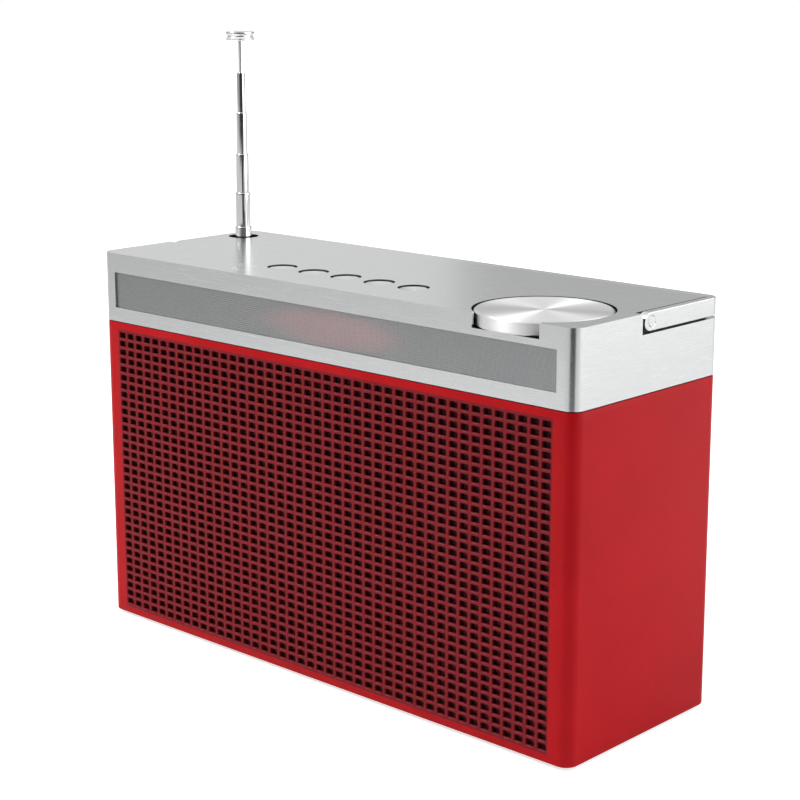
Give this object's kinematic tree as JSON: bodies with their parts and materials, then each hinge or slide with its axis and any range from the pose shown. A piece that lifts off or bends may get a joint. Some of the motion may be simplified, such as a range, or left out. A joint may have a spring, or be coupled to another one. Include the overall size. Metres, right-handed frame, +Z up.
{
  "type": "table radio",
  "caption": "Portable table radio: leather-wrapped cabinet with a perforated front, metal top housing with display window, volume dial, push buttons, fold-down handle and telescopic aerial.",
  "frame": {"origin": "on the floor plane under the middle of the body, at the bottom of the feet", "axes": "+Z up, -Y out of the grille, +X to the dial's side"},
  "size_m": [0.3, 0.1061, 0.2969],
  "materials": {
    "red_leather": "fine grain, satin",
    "cabinet_board": "raw fibreboard",
    "painted_steel": "black satin paint",
    "black_cloth": "acoustic cloth",
    "black_plastic": "fine texture",
    "magnet_steel": "zinc plated",
    "paper_cone": "pressed paper",
    "black_rubber": "matte",
    "screw_steel": "zinc plated",
    "circuit_board": "solder mask",
    "brass": "turned",
    "black_alloy": "black anodised",
    "battery_sleeve": "shrink sleeve",
    "brushed_alloy": "fine brushed, satin",
    "display_mesh": "fine woven mesh",
    "dark_lens": "smoked",
    "button_alloy": "turned dish",
    "spun_alloy": "spun face, knurled rim",
    "chrome_tube": "polished"
  },
  "bodies": {
    "root": {"leather_wrap": "red_leather", "cabinet_box": "cabinet_board", "grille_plate": "painted_steel", "grille_cloth": "black_cloth", "baffle_board": "cabinet_board", "bass_port": "black_plastic", "left_driver_frame": "painted_steel", "right_driver_frame": "painted_steel", "left_driver_magnet": "magnet_steel", "right_driver_magnet": "magnet_steel", "left_driver_cone": "paper_cone", "right_driver_cone": "paper_cone", "left_driver_surround": "black_rubber", "right_driver_surround": "black_rubber", "driver_screws": "screw_steel", "deck_rails": "cabinet_board", "deck_plate": "black_plastic", "deck_screws": "screw_steel", "main_board": "circuit_board", "board_standoffs": "brass", "tuner_can": "screw_steel", "amplifier_heatsink": "black_alloy", "rear_panel": "black_plastic", "rear_screws": "screw_steel", "battery_tray": "black_plastic", "battery_pack": "battery_sleeve", "battery_door": "black_plastic", "door_screws": "screw_steel", "socket_board": "circuit_board", "aux_socket": "black_plastic", "charge_port": "screw_steel", "feet": "black_rubber", "seam_gasket": "black_rubber", "top_housing": "brushed_alloy", "housing_screws": "screw_steel", "display_mesh": "display_mesh", "display_lens": "dark_lens", "display_board": "circuit_board", "button_board": "circuit_board", "button_switches": "black_plastic", "button_board_screws": "screw_steel", "encoder": "black_alloy", "encoder_nut": "screw_steel", "handle_pins": "button_alloy", "aerial_bush": "black_plastic"},
    "handle": {"handle": "brushed_alloy"},
    "dial": {"dial": "spun_alloy", "dial_shaft": "screw_steel"},
    "button_1": {"button_1": "button_alloy"},
    "button_2": {"button_2": "button_alloy"},
    "button_3": {"button_3": "button_alloy"},
    "button_4": {"button_4": "button_alloy"},
    "button_5": {"button_5": "button_alloy"},
    "aerial_1": {"aerial_section_1": "chrome_tube"},
    "aerial_2": {"aerial_section_2": "chrome_tube"},
    "aerial_3": {"aerial_section_3": "chrome_tube"},
    "aerial_4": {"aerial_section_4": "chrome_tube"},
    "aerial_5": {"aerial_section_5": "chrome_tube"},
    "aerial_6": {"aerial_tip": "chrome_tube", "aerial_cap": "chrome_tube"}
  },
  "joints": [
    {"name": "handle_lift", "type": "hinge", "parent": "root", "child": "handle", "pos_m": [0, 0.0002, 0.186], "axis": [1, 0, 0], "range_deg": [0, 33]},
    {"name": "dial_turn", "type": "hinge", "parent": "root", "child": "dial", "pos_m": [0.1123, -0.0248, 0.187], "axis": [0, 0, 1], "continuous": true},
    {"name": "button_1_press", "type": "slide", "parent": "root", "child": "button_1", "axis": [0, 0, 1], "range_m": [-0.0008, 0], "stiffness_N_per_m": 1500},
    {"name": "button_2_press", "type": "slide", "parent": "root", "child": "button_2", "axis": [0, 0, 1], "range_m": [-0.0008, 0], "stiffness_N_per_m": 1500},
    {"name": "button_3_press", "type": "slide", "parent": "root", "child": "button_3", "axis": [0, 0, 1], "range_m": [-0.0008, 0], "stiffness_N_per_m": 1500},
    {"name": "button_4_press", "type": "slide", "parent": "root", "child": "button_4", "axis": [0, 0, 1], "range_m": [-0.0008, 0], "stiffness_N_per_m": 1500},
    {"name": "button_5_press", "type": "slide", "parent": "root", "child": "button_5", "axis": [0, 0, 1], "range_m": [-0.0008, 0], "stiffness_N_per_m": 1500},
    {"name": "aerial_1_slide", "type": "slide", "parent": "root", "child": "aerial_1", "axis": [0, 0, 1], "range_m": [-0.01, 0]},
    {"name": "aerial_2_slide", "type": "slide", "parent": "aerial_1", "child": "aerial_2", "axis": [0, 0, 1], "range_m": [-0.0178, 0.0661]},
    {"name": "aerial_3_slide", "type": "slide", "parent": "aerial_2", "child": "aerial_3", "axis": [0, 0, 1], "range_m": [-0.0203, 0.0636]},
    {"name": "aerial_4_slide", "type": "slide", "parent": "aerial_3", "child": "aerial_4", "axis": [0, 0, 1], "range_m": [-0.0216, 0.0623]},
    {"name": "aerial_5_slide", "type": "slide", "parent": "aerial_4", "child": "aerial_5", "axis": [0, 0, 1], "range_m": [-0.0205, 0.0634]},
    {"name": "aerial_6_slide", "type": "slide", "parent": "aerial_5", "child": "aerial_6", "axis": [0, 0, 1], "range_m": [-0.0165, 0.0674]}
  ]
}
